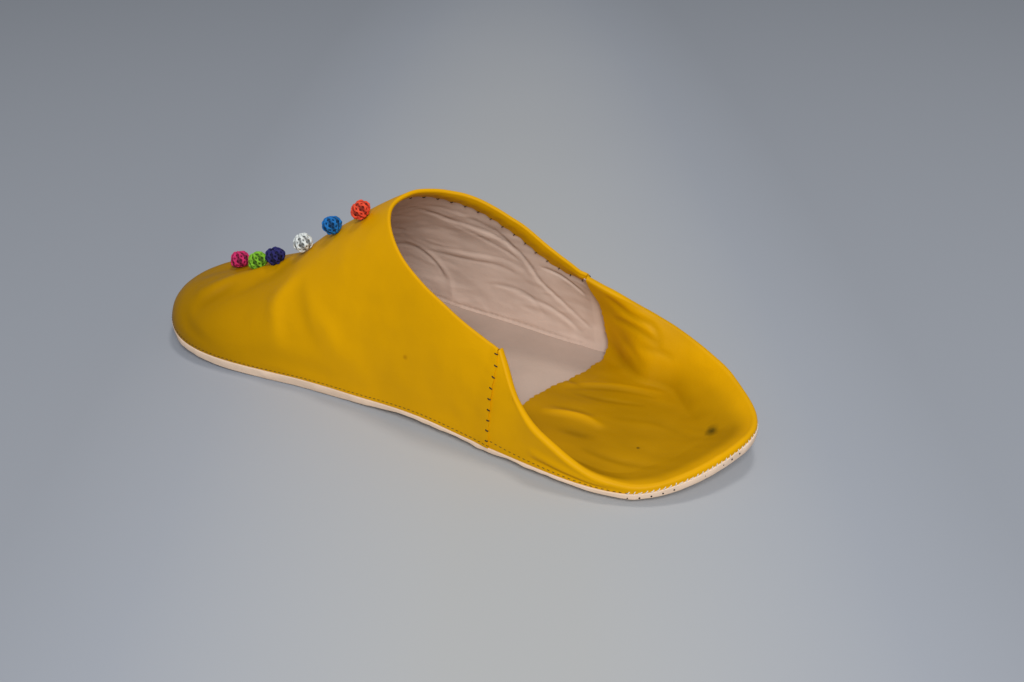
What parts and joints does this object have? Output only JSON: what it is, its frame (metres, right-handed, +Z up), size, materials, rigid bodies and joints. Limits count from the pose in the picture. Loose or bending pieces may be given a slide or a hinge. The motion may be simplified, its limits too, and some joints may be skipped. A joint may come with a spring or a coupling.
{
  "type": "babouche slipper",
  "caption": "Backless soft leather slipper with a closed vamp, folded-down heel and thread knots along the instep.",
  "frame": {"origin": "on the floor under the heel's flat spot, a fifth of the length in front of the back of the heel", "axes": "+X from heel to toe, +Y to the foot's inner side, +Z up"},
  "size_m": [0.25, 0.0963, 0.0704],
  "materials": {
    "sole_leather": "matte undyed leather",
    "insole_leather": "matte undyed leather",
    "vamp_leather": "satin yellow leather with a cream lining",
    "quarter_leather": "satin yellow leather",
    "magenta_thread": "twisted thread",
    "green_thread": "twisted thread",
    "navy_thread": "twisted thread",
    "white_thread": "twisted thread",
    "blue_thread": "twisted thread",
    "red_thread": "twisted thread"
  },
  "bodies": {
    "root": {"outsole": "sole_leather", "insole": "insole_leather", "upper_vamp": "vamp_leather", "upper_quarter": "quarter_leather", "button_1": "magenta_thread", "button_2": "green_thread", "button_3": "navy_thread", "button_4": "white_thread", "button_5": "blue_thread", "button_6": "red_thread"}
  },
  "joints": []
}
